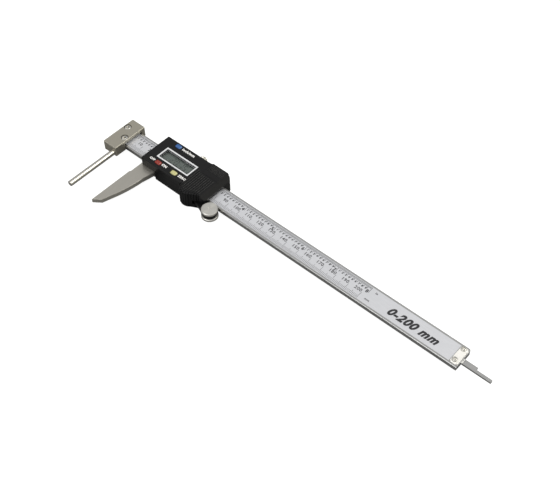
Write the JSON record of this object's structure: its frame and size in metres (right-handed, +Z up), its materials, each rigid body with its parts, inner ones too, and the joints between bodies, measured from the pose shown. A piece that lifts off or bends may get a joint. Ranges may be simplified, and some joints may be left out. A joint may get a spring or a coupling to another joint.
{
  "type": "digital caliper",
  "caption": "Digital caliper for tube walls: a printed steel beam with a head block and round anvil rod, a sliding jaw with display, buttons, thumb roller, lock screw and depth rod.",
  "frame": {"origin": "bottom centre of the whole object at rest, on the back plate's outer face", "axes": "+X along the beam from the head block to the depth rod, +Y across the beam towards the lock screw, +Z up out of the display"},
  "size_m": [0.306, 0.076, 0.0142],
  "materials": {
    "beam_steel": "ground and brushed stainless steel",
    "glass_fibre": "glass fibre strip with copper pads",
    "scale_foil": "satin printed foil",
    "head_steel": "bead blasted steel",
    "screw_steel": "zinc plated steel",
    "rod_steel": "hardened and polished steel",
    "black_oxide_steel": "black oxide steel",
    "stop_plate": "bright satin aluminium",
    "jaw_steel": "ground satin steel",
    "gib_brass": "ground brass",
    "cover_plastic": "moulded black ABS",
    "back_plate_paint": "satin black paint on sheet metal",
    "bezel_plastic": "silver painted plastic",
    "lens_plastic": "clear moulded lens",
    "lcd_cell": "grey green display",
    "reflector_foil": "matt foil",
    "contact_rubber": "layered elastomer",
    "board_laminate": "green solder mask",
    "potting": "black epoxy drop",
    "cell_steel": "nickel plated steel",
    "contact_metal": "tinned spring bronze",
    "bracket_paint": "black oxide spring steel",
    "roller_metal": "turned and nickel plated brass",
    "button_blue": "blue silicone rubber",
    "button_red": "red silicone rubber",
    "button_yellow": "pale yellow silicone rubber"
  },
  "bodies": {
    "beam_group": {"beam": "beam_steel", "scale_substrate": "glass_fibre", "scale_face": "scale_foil", "head_block": "head_steel", "head_screws": "screw_steel", "anvil_rod": "rod_steel", "rod_set_screw": "black_oxide_steel", "end_stop": "stop_plate", "end_stop_screws": "screw_steel"},
    "slider": {"slider_frame_and_jaw": "jaw_steel", "gib_strip": "gib_brass", "gib_screws": "black_oxide_steel", "front_cover": "cover_plastic", "cover_screws": "screw_steel", "back_plate": "back_plate_paint", "back_plate_screws": "black_oxide_steel", "lcd_bezel": "bezel_plastic", "lcd_window": "lens_plastic", "lcd_glass": "lcd_cell", "lcd_reflector": "reflector_foil", "contact_strips": "contact_rubber", "circuit_board": "board_laminate", "chip": "potting", "clock_crystal": "rod_steel", "key_domes": "contact_rubber", "battery": "cell_steel", "battery_lower_contact": "contact_metal", "battery_side_contact": "contact_metal", "depth_rod": "beam_steel", "depth_rod_screws": "screw_steel", "roller_bracket": "bracket_paint", "bracket_screws": "black_oxide_steel"},
    "roller": {"roller_top_disc": "roller_metal", "roller_lower_disc": "roller_metal", "roller_axle": "screw_steel"},
    "lock_screw": {"lock_screw": "roller_metal"},
    "lock_pad": {"lock_pad": "gib_brass"},
    "battery_door": {"battery_door": "cover_plastic"},
    "button_unit": {"button_unit": "button_blue"},
    "button_power": {"button_power": "button_red"},
    "button_zero": {"button_zero": "button_yellow"}
  },
  "joints": [
    {"name": "slider_slide", "type": "slide", "parent": "beam_group", "child": "slider", "axis": [1, 0, 0], "range_m": [-0.02015, 0.17985]},
    {"name": "roller_turn", "type": "hinge", "parent": "slider", "child": "roller", "pos_m": [-0.05638, 0.0052, 0.00505], "axis": [0, 0, 1], "range_deg": [-225, 1975]},
    {"name": "lock_screw_turn", "type": "hinge", "parent": "slider", "child": "lock_screw", "pos_m": [-0.09183, 0.03305, 0.00505], "axis": [0, -1, 0], "range_deg": [0, 270]},
    {"name": "lock_pad_slide", "type": "slide", "parent": "slider", "child": "lock_pad", "axis": [0, -1, 0], "range_m": [0, 0.00038]},
    {"name": "battery_door_slide", "type": "slide", "parent": "slider", "child": "battery_door", "axis": [1, 0, 0], "range_m": [0, 0.0165]},
    {"name": "button_unit_press", "type": "slide", "parent": "slider", "child": "button_unit", "axis": [0, 0, -1], "range_m": [0, 0.0006], "stiffness_N_per_m": 1500, "springref_m": -0.0001},
    {"name": "button_power_press", "type": "slide", "parent": "slider", "child": "button_power", "axis": [0, 0, -1], "range_m": [0, 0.0006], "stiffness_N_per_m": 1500, "springref_m": -0.0001},
    {"name": "button_zero_press", "type": "slide", "parent": "slider", "child": "button_zero", "axis": [0, 0, -1], "range_m": [0, 0.0006], "stiffness_N_per_m": 1500, "springref_m": -0.0001}
  ],
  "couplings": [
    {"joint": "roller_turn", "follows": "slider_slide", "rad_per_m": 190.48},
    {"joint": "lock_pad_slide", "follows": "lock_screw_turn", "m_per_rad": 0.000079577}
  ]
}
